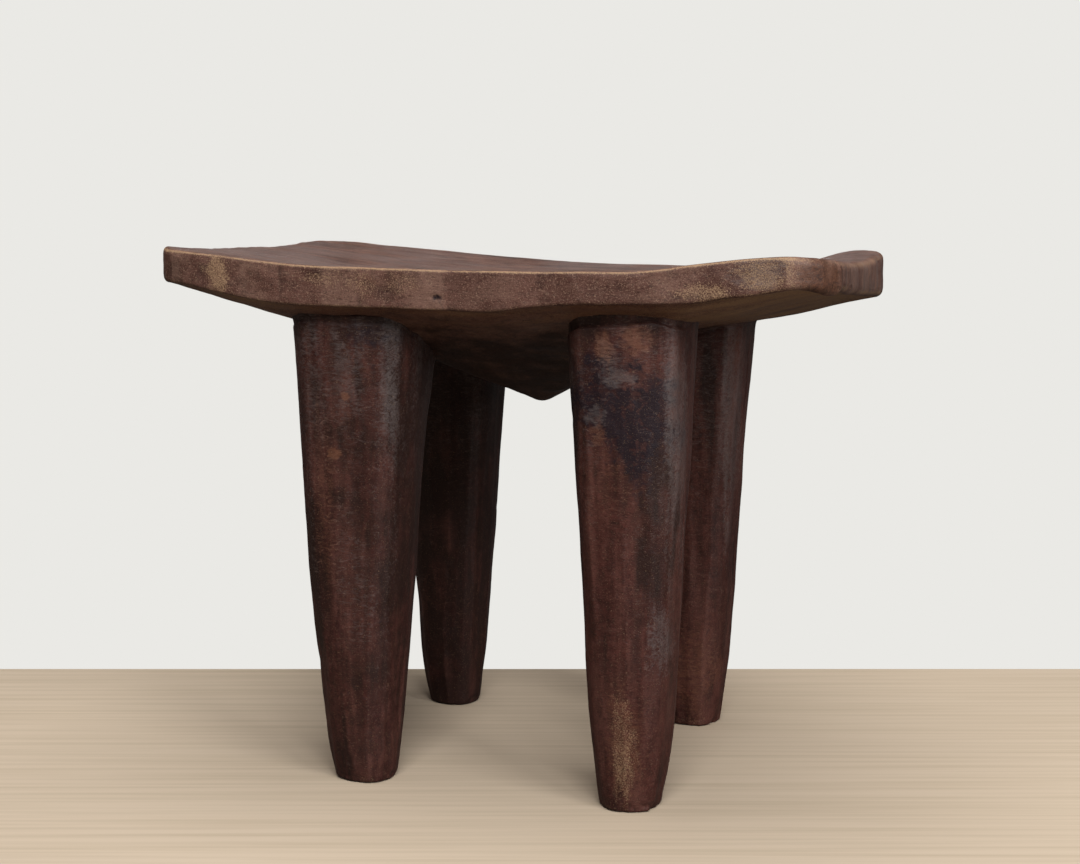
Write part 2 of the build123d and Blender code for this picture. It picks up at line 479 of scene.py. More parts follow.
def paint_front_left_leg(points, node, seed):
    """The leg with a grey bloom near its top, partly a painted sheen, two small reddish scars, and
    painted shade on its inner side and down its left edge.
    """
    paint = paint_common_leg(points, node, seed)
    spots = [
        ("dust_and_sheen", 0.56, 3, 282, 14, 34),
        # painted sheen: the grey band down the right of the front
        ("dust_and_sheen", 0.56, 31, 262, 5, 48),
        ("dust_and_sheen", 0.30, 2, 150, 14, 60),
        ("warm", 1.4, 3, 264, 3.2, 3.0),
        ("warm", 1.6, -6, 226, 4.8, 3.4),
        ("warm", 0.40, -14, 200, 10, 70),
        ("stain", 0.60, 20, 304, 24, 12),
        ("shade", 0.70, 24, 120, 12, 70),
        # painted shade down the left edge, which is turned from the light
        ("shade", 0.70, -34, 180, 10, 140),
    ]
    corner_low, corner_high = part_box(node)
    # painted shade on the inner side, where the seat and the other legs keep the light off
    aside = points[:, 0] - (corner_low.x + corner_high.x) / 2
    shaded_inner_side = smooth_step(28 * MM, 37 * MM, aside)
    paint["shade"] = paint["shade"] + 0.8 * shaded_inner_side
    return add_spots(paint, points, node, seed, spots)


def paint_back_right_leg(points, node, seed):
    """The leg with a painted grey sheen along its outer side and painted light near its top."""
    paint = paint_common_leg(points, node, seed)
    spots = [
        # painted sheen along the outer side
        ("dust_and_sheen", 0.75, 35, 230, 9, 110),
        # painted light near the top
        ("dust_and_sheen", 0.45, 8, 285, 18, 40),
        ("warm", 0.50, 10, 40, 24, 50),
        ("shade", 0.60, 18, 250, 6, 60),
    ]
    return add_spots(paint, points, node, seed, spots)


# ---------------- seat

SEAT_COLUMNS = 240  # cells along the seat
SEAT_ROWS = 156  # cells across it
EDGE_STEPS = 5  # rings of points around each edge of the rim
RIM_STEPS = 18  # and down its face
RAY_LEVELS = (332, 336, 340, 344, 348)  # millimetres; they cross the rim's face
ABOVE_SEAT, BELOW_SEAT = 0.5, 0.1  # where upright rays start
SHARP_EDGE = 2.2 * MM  # rounding of the rim's edges along most of the seat
SOFT_EDGE = 5.5 * MM  # and at the right end, where hands rubbed it round
RIM_MIDDLE = 342 * MM  # height of the middle of the rim's face

# Straight adze cuts around the rim
CUT_SHORTEST, CUT_LONGEST = 9, 21  # millimetres
CORNER_REACH = 45 * MM  # cuts are shorter this close to both sides of a corner
CORNER_CUT_SHARE = 0.6
CUT_OFFSET = 0.0022  # how far a cut's ends lie in or out, as a share

# Depth of the hand work on the rim, the sitting surface and the underside
RIM_SCOOP, RIM_UNEVENNESS, RIM_GRAIN = 0.34 * MM, 0.22 * MM, 0.10 * MM
TOP_SCOOP, TOP_UNEVENNESS, TOP_GRAIN = 0.35 * MM, 0.5 * MM, 0.08 * MM
UNDER_SCOOP, UNDER_UNEVENNESS, UNDER_GRAIN = 0.65 * MM, 0.5 * MM, 0.16 * MM
NICK_DEPTH = 0.8 * MM
TOP_DENTS = 60
SEAT_MARKS = 40  # where in the random pattern of scoops the seat's marks start
KNOT_PLACE = (-0.04 * seat_length, 329 * MM)  # along the front rim, and height
KNOT_DEPTH = 1.6 * MM
GROOVE_Y = -0.368 * seat_width  # upright groove beside the front right corner
GROOVE_DEPTH = 1.6 * MM

# Where hand work raised or lowered the rim's edges: place as shares of the seat's length
# and width from its centre, then reach along, reach across and rise in millimetres
UPPER_EDGE_RISES = [
    (-0.19, -0.50, 45, 30, 2.0),
    (0.37, -0.50, 36, 30, 1.7),
    (-0.50, -0.44, 25, 30, 2.0),
    (-0.49, 0.36, 30, 40, 2.3),
    (-0.04, 0.50, 130, 30, 1.4),
    (0.475, 0.44, 18, 30, 1.2),
]
LOWER_EDGE_RISES = [
    (-0.18, -0.50, 60, 13, 2.8),
    (0.40, -0.50, 22, 12, -1.0),
    (0.496, -0.415, 13, 16, -4.8),  # the lip under the front right corner
]

# Patches on the front rim: kind of paint, strength, place as a share of the
# length from the left end, then height above the rim's middle, half width and half height
RIM_PATCHES = [
    ("worn_and_lit", 0.72, 0.127, 0, 10, 16),
    ("worn_and_lit", 0.42, 0.285, -2, 14, 5),
    ("worn_and_lit", 0.40, 0.350, -5, 10, 10),
    ("worn_and_lit", 0.36, 0.410, -3, 12, 9),
    ("worn_and_lit", 0.58, 0.832, -8, 16, 6),
    ("dust_and_sheen", 0.90, 0.905, 3, 18, 11),
    ("worn_and_lit", 0.58, 0.905, 2, 15, 10),
    # a narrow light strip on the front right corner's edge: wear and a painted highlight
    ("worn_and_lit", 0.60, 0.944, 3, 4, 14),
    ("shade", 0.60, 0.105, -4, 6, 14),
    ("shade", 0.50, 0.170, -4, 8, 16),
]


def smoothed(values, rounds):
    """Values around a closed loop, averaged with their neighbours several times."""
    for _ in range(rounds):
        values = (np.roll(values, 1, axis=0) + values + np.roll(values, -1, axis=0)) / 3
    return values


def edge_rounding(x):
    """How far the rim's edges are rounded off at each place along the seat."""
    right_end = smooth_step(0.40 * seat_length, 0.49 * seat_length, x)
    left_end = 0.45 * smooth_step(0.40 * seat_length, 0.49 * seat_length, -x)
    return SHARP_EDGE + (SOFT_EDGE - SHARP_EDGE) * (right_end + left_end)


def spread(count):
    """Shares from -1 to 1 that lie closer together towards both ends."""
    crowding = 0.6
    turn = np.linspace(-crowding, crowding, count + 1) * math.pi / 2
    return np.sin(turn) / math.sin(crowding * math.pi / 2)


def outline_at(tree, angle):
    """Distance of the rim's face from the seat's centre in one direction."""
    outward = Vector((math.cos(angle), math.sin(angle), 0.0))
    reach = 0.4
    best = 0.0
    for height in RAY_LEVELS:
        start = Vector((seat_centre.x, seat_centre.y, height * MM)) + outward * reach
        hit = tree.ray_cast(start, -outward)
        if hit[0] is not None:
            best = max(best, reach - hit[3])
    return best


def boundary_loop():
    """Grid places around the seat's edge, counter-clockwise from the front left corner."""
    loop = [(i, 0) for i in range(SEAT_COLUMNS)]
    loop += [(SEAT_COLUMNS, j) for j in range(SEAT_ROWS)]
    loop += [(i, SEAT_ROWS) for i in range(SEAT_COLUMNS, 0, -1)]
    loop += [(0, j) for j in range(SEAT_ROWS, 0, -1)]
    return loop


def rim_facets(outline, seed):
    """Replaces the smooth outline by short straight adze cuts, a little in and out of line.
    Also returns each point's place along the rim and the tone of its cut."""
    rng = np.random.default_rng(seed)
    step = np.linalg.norm(np.roll(outline, -1, axis=0) - outline, axis=1)
    along = np.concatenate([[0.0], np.cumsum(step)])
    closed = np.concatenate([outline, outline[:1]])
    last_cut = 24 * MM  # no new cut starts this close to the end
    smoothing_rounds = 60
    breaks = [0.0]
    while breaks[-1] < along[-1] - last_cut:
        x = np.interp(breaks[-1], along, closed[:, 0])
        y = np.interp(breaks[-1], along, closed[:, 1])
        near_end = abs(x) > seat_length / 2 - CORNER_REACH
        near_side = abs(y) > seat_width / 2 - CORNER_REACH
        share = CORNER_CUT_SHARE if near_end and near_side else 1.0
        breaks.append(breaks[-1] + rng.uniform(CUT_SHORTEST, CUT_LONGEST) * MM * share)
    breaks[-1] = along[-1]
    push = 1.0 + rng.uniform(-CUT_OFFSET, CUT_OFFSET, len(breaks))
    push[-1] = push[0]
    x = np.interp(along[:-1], breaks, np.interp(breaks, along, closed[:, 0]) * push)
    y = np.interp(along[:-1], breaks, np.interp(breaks, along, closed[:, 1]) * push)
    cut = np.stack([x, y], axis=1)
    cut = cut + smoothed(outline - cut, smoothing_rounds)  # so that no size is lost
    tones = rng.uniform(0.0, 1.0, len(breaks))
    tone = tones[np.searchsorted(breaks, along[:-1], side="right") - 1]
    return cut, along[:-1], smoothed(tone, 1)


def height_of(tree, x, y, direction):
    """Height of the seat's upper (direction -1) or lower (direction 1) surface."""
    start_height = ABOVE_SEAT if direction < 0 else BELOW_SEAT
    return tree.ray_cast(Vector((x, y, start_height)), Vector((0, 0, direction)))[0].z


def seat_plan(outline, loop):
    """Plan positions of the grid: square in the middle, following the outline at the edge."""
    u = spread(SEAT_COLUMNS)
    v = spread(SEAT_ROWS)
    square_x = (seat_length / 2) * np.repeat(u[:, None], SEAT_ROWS + 1, axis=1)
    square_y = (seat_width / 2) * np.repeat(v[None, :], SEAT_COLUMNS + 1, axis=0)
    reach = np.maximum(np.abs(u)[:, None], np.abs(v)[None, :])
    turn = np.arctan2(square_y, square_x)
    rim_turn = np.arctan2(outline[:, 1], outline[:, 0])
    rim_x = np.interp(turn, rim_turn, outline[:, 0], period=2 * math.pi)
    rim_y = np.interp(turn, rim_turn, outline[:, 1], period=2 * math.pi)
    weight = reach ** 4  # the outline counts near the edge only
    plan_x = (1 - weight) * square_x + weight * reach * rim_x
    plan_y = (1 - weight) * square_y + weight * reach * rim_y
    for (i, j), (x, y) in zip(loop, outline):
        plan_x[i, j] = x
        plan_y[i, j] = y
    return plan_x, plan_y


def make_seat(seed):
    """The seat: upper grid, lower grid and the rim band between them."""
    tree = cad_tree("seat")
    loop = boundary_loop()
    u = spread(SEAT_COLUMNS)
    v = spread(SEAT_ROWS)
    outline = []
    for i, j in loop:
        angle = math.atan2(v[j] * seat_width / 2, u[i] * seat_length / 2)
        reach = outline_at(tree, angle)
        outline.append((reach * math.cos(angle), reach * math.sin(angle)))
    carved, along, tone = rim_facets(np.array(outline), seed)
    tangent = np.roll(carved, -1, axis=0) - np.roll(carved, 1, axis=0)
    normal = np.stack([tangent[:, 1], -tangent[:, 0]], axis=1)
    normal = smoothed(normal / np.linalg.norm(normal, axis=1)[:, None], 3)

    rounding = edge_rounding(carved[:, 0])
    plan_x, plan_y = seat_plan(carved - normal * rounding[:, None], loop)
    shape = plan_x.shape
    inner = 1.0 - 1.2 * MM / (seat_width / 2)  # keeps the rays off the very edge
    upper_z = np.zeros(shape)
    lower_z = np.zeros(shape)
    for i in range(shape[0]):
        for j in range(shape[1]):
            x = plan_x[i, j] * inner
            y = plan_y[i, j] * inner
            upper_z[i, j] = height_of(tree, x, y, -1)
            lower_z[i, j] = height_of(tree, x, y, 1)

    flat = np.stack([plan_x.ravel(), plan_y.ravel(), np.zeros(plan_x.size)], axis=1)
    upper_z += (carve_top(flat, seed) + edge_rises(flat, UPPER_EDGE_RISES)).reshape(shape)
    lower_z += (carve_underside(flat, seed) + edge_rises(flat, LOWER_EDGE_RISES)).reshape(shape)
    upper = np.stack([plan_x, plan_y, upper_z], axis=2).reshape(-1, 3)
    lower = np.stack([plan_x, plan_y, lower_z], axis=2).reshape(-1, 3)
    upper_loop = np.array([i * shape[1] + j for i, j in loop])
    lower_loop = upper_loop + len(upper)

    heights = (upper[upper_loop, 2], lower[upper_loop, 2])
    rings, upper_wear, lower_wear = rim_rings(carved, normal, heights, rounding, along, seed)
    points = np.concatenate([upper, lower] + rings)
    faces = grid_faces(shape, 0) + grid_faces(shape, len(upper))
    first_ring = 2 * len(upper)
    count = len(loop)
    rows = [upper_loop] + [first_ring + k * count + np.arange(count) for k in range(len(rings))]
    rows.append(lower_loop)
    for above, below in zip(rows, rows[1:]):
        for a in range(count):
            b = (a + 1) % count
            faces.append((int(above[a]), int(above[b]), int(below[b]), int(below[a])))

    grid = np.zeros(len(upper))
    ring = np.ones(count)

    def layer(on_upper, on_lower, on_rings):
        """A value for every point: on the upper grid, the lower grid and each ring."""
        return np.concatenate([grid + on_upper, grid + on_lower] + [ring * value for value in on_rings])

    layout = {
        "top": layer(1, 0, [0] * len(rings)),
        "underside": layer(0, 1, [0] * len(rings)),
        "rim": layer(0, 0, [1] * len(rings)),
        "upper_edge": layer(0, 0, upper_wear),
        "lower_edge": layer(0, 0, lower_wear),
        "tone": layer(0.5, 0.5, [tone] * len(rings)),
    }
    paint = paint_seat(points, layout, seed)
    return piece_from_grid("carved_seat", points, faces, paint, seat_wood, "seat")


def grid_faces(shape, first):
    """Four-sided faces of a grid of points."""
    faces = []
    columns = shape[1]
    for i in range(shape[0] - 1):
        for j in range(shape[1] - 1):
            a = first + i * columns + j
            faces.append((a, a + 1, a + columns + 1, a + columns))
    return faces


def rim_rings(carved, normal, heights, rounding, along, seed):
    """Closed rings of points down the rim: rounded upper edge, face, rounded lower edge.
    Also returns how much each ring is worn as part of the upper and of the lower edge."""
    top_z, bottom_z = heights
    quarter = math.pi / 2
    upper = [quarter * k / EDGE_STEPS for k in range(1, EDGE_STEPS + 1)]
    lower = [quarter * (1 - k / EDGE_STEPS) for k in range(EDGE_STEPS)]
    rows = [(turn, top_z - rounding * (1 - math.cos(turn)), 1) for turn in upper]
    for k in range(1, RIM_STEPS):
        down = k / RIM_STEPS
        rows.append((quarter, (top_z - rounding) * (1 - down) + (bottom_z + rounding) * down, 0))
    rows += [(turn, bottom_z + rounding * (1 - math.cos(turn)), -1) for turn in lower]

    level = np.stack([carved[:, 0], carved[:, 1], np.zeros(len(carved))], axis=1)
    nicks = smooth_step(0.25, 1.1, layered_noise(level, (9 * MM, 9 * MM, 1.0), seed + 50))
    knot_x, knot_z = KNOT_PLACE
    rings = []
    upper_wear = []
    lower_wear = []
    for turn, z, edge in rows:
        place = np.stack([carved[:, 0], carved[:, 1], z], axis=1)
        change = RIM_SCOOP * (tool_marks(along / (14 * MM), z / (21 * MM), seed + 51) - 0.5)
        change += RIM_UNEVENNESS * layered_noise(place, (17 * MM, 17 * MM, 11 * MM), seed + 52)
        change += RIM_GRAIN * lattice_noise(place, (2.1 * MM, 2.1 * MM, 2.8 * MM), seed + 53)
        if edge:
            change -= NICK_DEPTH * nicks * math.sin(turn)
        knot = ((carved[:, 0] - knot_x) / (2.8 * MM)) ** 2 + ((z - knot_z) / (1.5 * MM)) ** 2
        change -= KNOT_DEPTH * np.exp(-knot) * (carved[:, 1] < 0)
        from_groove = (carved[:, 1] - GROOVE_Y) / (4.5 * MM)
        change -= GROOVE_DEPTH * np.exp(-from_groove ** 2) * (carved[:, 0] > 0)
        offset = change - rounding * (1 - math.sin(turn))
        place[:, :2] += normal * offset[:, None]
        rings.append(place)
        on_edge = math.exp(-((turn - 0.55 * quarter) / 0.40) ** 2)
        upper_wear.append(on_edge if edge > 0 else 0.0)
        lower_wear.append(on_edge if edge < 0 else 0.0)
    return rings, upper_wear, lower_wear


def edge_rises(flat, rises):
    """Smooth local rises of a surface at the rim."""
    change = np.zeros(len(flat))
    for share_x, share_y, along, across, rise in rises:
        x = (flat[:, 0] - share_x * seat_length) / (along * MM)
        y = (flat[:, 1] - share_y * seat_width) / (across * MM)
        change += rise * MM * np.exp(-(x * x + y * y))
    return change


def seat_marks(u, v, seed):
    """Scoops of the sitting surface and the underside, from -0.5 to about 0.5 on a ridge."""
    return tool_marks(u + SEAT_MARKS, v + SEAT_MARKS, seed) - 0.5


def carve_top(flat, seed):
    """Long shallow planing marks along the grain, and dents from use."""
    x = flat[:, 0]
    y = flat[:, 1]
    change = TOP_SCOOP * seat_marks(x / (64 * MM), y / (17 * MM), seed + 60)
    change += TOP_UNEVENNESS * layered_noise(flat, (70 * MM, 40 * MM, 1.0), seed + 61)
    change += TOP_GRAIN * lattice_noise(flat, (22 * MM, 2.6 * MM, 1.0), seed + 62)
    rng = np.random.default_rng(seed + 63)
    for _ in range(TOP_DENTS):
        cx = rng.uniform(-0.46, 0.46) * seat_length
        cy = rng.uniform(-0.44, 0.44) * seat_width
        size = rng.uniform(1.5, 6.0) * MM
        depth = rng.uniform(0.15, 0.6) * MM
        change -= depth * np.exp(-(((x - cx) / (size * 1.6)) ** 2 + ((y - cy) / size) ** 2))
    return change


def carve_underside(flat, seed):
    """Adze cuts along the grain, deeper than on the sitting surface."""
    x = flat[:, 0]
    y = flat[:, 1]
    right_end_rise = 1.8 * MM
    change = UNDER_SCOOP * seat_marks(x / (42 * MM), y / (13 * MM), seed + 70)
    change += UNDER_UNEVENNESS * layered_noise(flat, (50 * MM, 22 * MM, 1.0), seed + 71)
    change += UNDER_GRAIN * lattice_noise(flat, (26 * MM, 2.4 * MM, 1.0), seed + 72)
    change += right_end_rise * smooth_step(0.33 * seat_length, 0.46 * seat_length, x)
    return change


def paint_seat(points, layout, seed):
    """Paint on the seat: light rubbed edges with a painted highlight, patches on the rim, a knot, a
    painted sheen on top, and painted shade under the seat with painted light towards its rim.
    """
    x, y, z = points.T
    top, rim, underside = layout["top"], layout["rim"], layout["underside"]
    fine = layered_noise(points, (5 * MM, 5 * MM, 5 * MM), seed + 80)
    broad = layered_noise(points, (46 * MM, 46 * MM, 30 * MM), seed + 81)
    upright = layered_noise(points, (4 * MM, 4 * MM, 60 * MM), seed + 82)
    lengthwise = layered_noise(points, (80 * MM, 9 * MM, 9 * MM), seed + 83)
    grain_lines = layered_noise(points, (120 * MM, 4.5 * MM, 9 * MM), seed + 84)
    rubbed = layered_noise(points, (30 * MM, 30 * MM, 18 * MM), seed + 85)
    right_end = smooth_step(0.475 * seat_length, 0.49 * seat_length, x)
    right_part = smooth_step(0.20 * seat_length, 0.38 * seat_length, x)
    left_part = smooth_step(0.22 * seat_length, 0.38 * seat_length, -x)

    # both edges of the rim are rubbed light, with a painted highlight along them, and so are patches
    # away from the front
    hand_worn_end = smooth_step(0.44 * seat_length, 0.48 * seat_length, x)
    away_from_front = smooth_step(-0.40 * seat_width, -0.20 * seat_width, y)
    worn_and_lit = layout["upper_edge"] * (1.05 + 0.35 * broad + 0.3 * fine) * (1.0 - 0.5 * hand_worn_end)
    worn_and_lit = np.maximum(worn_and_lit, layout["lower_edge"] * (0.45 + 0.35 * fine + 0.3 * broad))
    worn_and_lit = np.maximum(worn_and_lit, 0.50 * rim * away_from_front * smooth_step(0.3, 1.1, rubbed))

    # the sitting surface is grey with dust and a painted sheen, with darker lines along the grain, the
    # right end greyer still
    dust_and_sheen = top * (0.72 + 0.40 * broad + 0.35 * lengthwise)
    dust_and_sheen = dust_and_sheen + right_end * rim * (0.50 + 0.80 * upright)
    level = z + 4 * MM * lengthwise
    # painted shade: the underside darkens away from its rim, where little light reaches
    shade = underside * (1.0 - smooth_step(288 * MM, 322 * MM, level)) * 0.95
    shade = shade + rim * 0.40 * smooth_step(0.0, 1.0, 0.6 * broad + 0.7 * upright)
    shade = shade + top * (0.16 + 0.50 * smooth_step(0.0, 1.0, lengthwise - 0.4 * broad))
    shade = shade + top * 0.40 * smooth_step(0.2, 0.9, grain_lines)

    # the underside, painted dark in the middle, is painted lighter and warmer towards the rim, as light
    # that reaches under its edge
    lit_under_rim = smooth_step(300 * MM, 322 * MM, level + 12 * MM * right_part) * underside
    under_rim_light = 0.26 + 0.50 * right_part + 0.35 * left_part + 0.25 * lengthwise
    worn_and_lit = np.maximum(worn_and_lit, lit_under_rim * under_rim_light)
    warm = lit_under_rim * (0.70 + 0.35 * lengthwise)

    masks = {"worn_and_lit": worn_and_lit, "dust_and_sheen": dust_and_sheen, "shade": shade, "warm": warm}
    for number, (kind, strength, share, above, wide, tall) in enumerate(RIM_PATCHES):
        centre = (seat_low.x + share * seat_length, seat_low.y, RIM_MIDDLE + above * MM)
        mask = spot(points, centre, (wide * MM, 22 * MM, tall * MM), seed + 90 + number)
        masks[kind] = np.maximum(masks[kind], strength * mask * rim)

    # a dark reddish patch at the front right corner, partly painted shade where the corner turns from
    # the light, and painted shade in the groove beside it
    corner = (0.478 * seat_length, -0.452 * seat_width, RIM_MIDDLE - 2 * MM)
    patch = spot(points, corner, (19 * MM, 20 * MM, 17 * MM), seed + 120, 0.2) * rim
    groove_place = (0.50 * seat_length, GROOVE_Y, RIM_MIDDLE)
    groove = spot(points, groove_place, (12 * MM, 3 * MM, 22 * MM), seed + 130)
    masks["shade"] = np.maximum(masks["shade"], 0.85 * patch)
    masks["shade"] = np.maximum(masks["shade"], 0.80 * groove * rim)
    masks["warm"] = np.maximum(masks["warm"], 0.72 * patch)
    masks["dust_and_sheen"] = masks["dust_and_sheen"] * (1.0 - 0.9 * patch)
    masks["worn_and_lit"] = masks["worn_and_lit"] * (1.0 - 0.7 * patch)

    knot_x, knot_z = KNOT_PLACE
    knot = spot(points, (knot_x, seat_low.y, knot_z), (3.2 * MM, 6 * MM, 1.9 * MM), seed + 110, 0.2)
    masks["stain"] = knot
    masks["shade"] = np.maximum(masks["shade"], knot)
    masks["tone"] = layout["tone"]
    return masks


# ---------------- wood

# Linear colours of old wood, and of the paint that lies over it
BLACK = (0.010, 0.0035, 0.0025, 1)
PALE_SPECK = (0.34, 0.21, 0.15, 1)
SHADE = (0.014, 0.005, 0.0035, 1)
STAIN = (0.012, 0.006, 0.010, 1)
GREY_DUST_AND_SHEEN = (0.145, 0.118, 0.113, 1)
WARM = (0.185, 0.075, 0.040, 1)
TAN_WEAR_AND_LIGHT = (0.38, 0.24, 0.135, 1)


def add_node(tree, kind, inputs=None, **settings):
    """Adds a shader node; an input may be a value or another node's output."""
    item = tree.nodes.new(kind)
    for name, value in settings.items():
        setattr(item, name, value)
    for name, value in (inputs or {}).items():
        if isinstance(value, bpy.types.NodeSocket):
            tree.links.new(value, item.inputs[name])
        else:
            item.inputs[name].default_value = value
    return item


def mix_colour(tree, factor, first, second):
    """Colour between first and second."""
    factor_input, first_input, second_input = 0, 6, 7
    item = add_node(
        tree, "ShaderNodeMix", {factor_input: factor, first_input: first, second_input: second},
        data_type="RGBA",
    )
    return item.outputs[2]


def maths(tree, operation, first, second=0.0, clamp=False):
    """One step of arithmetic on values."""
    item = add_node(tree, "ShaderNodeMath", {0: first, 1: second}, operation=operation, use_clamp=clamp)
    return item.outputs[0]


def stretched_noise(tree, place, scale, detail=3.0, roughness=0.55, distortion=0.0):
    """Noise with its own number of waves per metre along each axis."""
    stretched = add_node(tree, "ShaderNodeVectorMath", {0: place, 1: scale}, operation="MULTIPLY")
    item = add_node(
        tree, "ShaderNodeTexNoise",
        {"Vector": stretched.outputs[0], "Scale": 1.0, "Detail": detail, "Roughness": roughness,
         "Distortion": distortion},
    )
    return item.outputs[0]


def contrast(tree, value, start, end):
    """Spreads the range from start to end over 0 to 1."""
    item = add_node(
        tree, "ShaderNodeMapRange", {"Value": value, "From Min": start, "From Max": end}, clamp=True
    )
    return item.outputs[0]


def broken_up(tree, mask, noise, amount):
    """A painted mask whose soft edge is broken up by noise."""
    raggedness, threshold, sharpness = 2.6, 0.30, 1.4
    uneven = maths(tree, "MULTIPLY", maths(tree, "SUBTRACT", noise, 0.5), raggedness)
    raised = maths(tree, "SUBTRACT", maths(tree, "ADD", mask, uneven), threshold)
    full = maths(tree, "MULTIPLY", raised, sharpness, True)
    return maths(tree, "MULTIPLY", full, amount)


def new_material(name):
    """An empty material: itself, its node tree, its shader and the place on the object."""
    material = bpy.data.materials.new(name)
    material.use_nodes = True
    tree = material.node_tree
    place = add_node(tree, "ShaderNodeTexCoord").outputs["Object"]
    return material, tree, tree.nodes["Principled BSDF"], place


def wood(name, deep, middle, light, streak_scale, grain_strength, speckle):
    """Old oiled hardwood: mottled brown with grain, streaks, pores, painted wear and painted light and
    shade.  The colours run from deep to light, and the streak scale is in waves per metre."""
    material, tree, shader, place = new_material(name)

    def painted(attribute):
        return add_node(tree, "ShaderNodeAttribute", attribute_name=attribute).outputs["Fac"]

    mottle = stretched_noise(tree, place, (42, 42, 30), 5.0, 0.62)
    blotches = stretched_noise(tree, place, (170, 230, 200), 4.0, 0.6, 0.6)
    streaks = stretched_noise(tree, place, streak_scale, 3.0, 0.6)
    grain = stretched_noise(tree, place, (90, 700, 700), 4.0, 0.7, 0.8)
    dust_grain = stretched_noise(tree, place, (130, 400, 400), 5.0, 0.7, 1.5)
    pores = stretched_noise(tree, place, (380, 1500, 1500), 2.0, 0.6)
    speckles = stretched_noise(tree, place, (1200, 1500, 1300), 2.0, 0.75)

    # each coat lies where its noise is beyond start, and is strongest at end
    tone = painted("tone")
    coats = (
        (blotches, 0.50, 0.68, 0.40, light),
        (blotches, 0.48, 0.32, 0.45, BLACK),
        (streaks, 0.50, 0.80, 0.8, light),
        (streaks, 0.46, 0.28, 0.6, BLACK),
        (tone, 0.5, 1.0, 0.55, light),
        (tone, 0.5, 0.0, 0.65, deep),
        (grain, 0.52, 0.72, grain_strength, light),
        (grain, 0.46, 0.28, grain_strength, BLACK),
        (pores, 0.46, 0.30, 0.6, BLACK),
        (speckles, 0.53, 0.72, speckle, PALE_SPECK),
    )
    colour = mix_colour(tree, contrast(tree, mottle, 0.38, 0.62), deep, middle)
    for noise, start, end, strength, coat in coats:
        share = maths(tree, "MULTIPLY", contrast(tree, noise, start, end), strength)
        colour = mix_colour(tree, share, colour, coat)

    shade = broken_up(tree, painted("shade"), mottle, 0.85)
    dust_and_sheen = broken_up(tree, painted("dust_and_sheen"), dust_grain, 0.48)
    stain = broken_up(tree, painted("stain"), blotches, 0.95)
    warm = broken_up(tree, painted("warm"), dust_grain, 0.55)
    worn_and_lit = broken_up(tree, painted("worn_and_lit"), speckles, 0.80)
    layers = ((shade, SHADE), (stain, STAIN), (dust_and_sheen, GREY_DUST_AND_SHEEN), (warm, WARM), (worn_and_lit, TAN_WEAR_AND_LIGHT))
    for share, paint_colour in layers:
        colour = mix_colour(tree, share, colour, paint_colour)
    tree.links.new(colour, shader.inputs["Base Color"])

    roughness = maths(tree, "ADD", 0.33, maths(tree, "MULTIPLY", mottle, 0.22))
    roughness = maths(tree, "ADD", roughness, maths(tree, "MULTIPLY", worn_and_lit, 0.2))
    roughness = maths(tree, "ADD", roughness, maths(tree, "MULTIPLY", speckles, 0.16), True)
    tree.links.new(roughness, shader.inputs["Roughness"])
    shader.inputs["Specular IOR Level"].default_value = 0.32

    relief = maths(tree, "MULTIPLY", grain, 0.4)
    for noise, strength in ((pores, 0.35), (blotches, 0.9), (speckles, 0.15)):
        relief = maths(tree, "ADD", relief, maths(tree, "MULTIPLY", noise, strength))
    bump = add_node(tree, "ShaderNodeBump", {"Strength": 0.7, "Distance": 0.5 * MM, "Height": relief})
    tree.links.new(bump.outputs[0], shader.inputs["Normal"])
    return material


seat_wood = wood(
    "seat_wood", (0.080, 0.032, 0.023, 1), (0.145, 0.064, 0.048, 1), (0.23, 0.130, 0.096, 1),
    (30, 90, 60), 0.25, 0.70,
)
leg_wood = wood(
    "leg_wood", (0.038, 0.0095, 0.0075, 1), (0.080, 0.0215, 0.0155, 1), (0.130, 0.049, 0.037, 1),
    (150, 150, 12), 0.22, 0.05,
)

# Each leg: node, seed, bulges, ledge and how it is painted
LEGS = [
    ("leg_front_left", 200,
     [(200, 150, 60, 2.2), (190, 300, 50, -1.5), (205, 0, 16, -2.0), (350, 6, 26, 2.4)],
     (5, 1.0), paint_front_left_leg),
    ("leg_front_right", 300, [(345, 0, 22, -3.5)], (6.5, 3.0), paint_front_right_leg),
    ("leg_back_left", 400, [(210, 0, 18, -2.0)], (5, 0.5), paint_common_leg),
    ("leg_back_right", 500, [(20, 90, 60, 1.5)], (4, 1.0), paint_back_right_leg),
]

pieces = [make_seat(11)]
for leg_node, leg_seed, leg_bulges, leg_ledge, paint_leg in LEGS:
    pieces.append(make_leg(leg_node, leg_seed, leg_bulges, leg_ledge, paint_leg))


# ---------------- floor, light and camera

CAMERA_PLACE = (0.3481, -1.0940, 0.3745)
CAMERA_TURN = math.radians(17.55)  # to the left, from looking along +Y
CAMERA_PITCH = math.radians(7.26)  # downwards
CAMERA_LENS = 54.67  # millimetres
SENSOR_WIDTH = 36.0
TABLE_BACK = 0.204  # table's far edge, behind the origin as the camera looks
TABLE_FRONT = -1.5
TABLE_HALF_WIDTH = 1.6
TABLE_THICKNESS = 0.04

# Linear colours of the stage
TABLE_LIGHT = (0.63, 0.51, 0.385, 1)
TABLE_GRAIN = (0.525, 0.42, 0.30, 1)
TABLE_BOUNCE = (0.16, 0.13, 0.10, 1)  # what the table throws back at the stool
WALL = (0.823, 0.815, 0.784, 1)
WALL_LIGHT, WALL_LIGHT_STRENGTH = (1.0, 0.98, 0.95, 1), 0.07


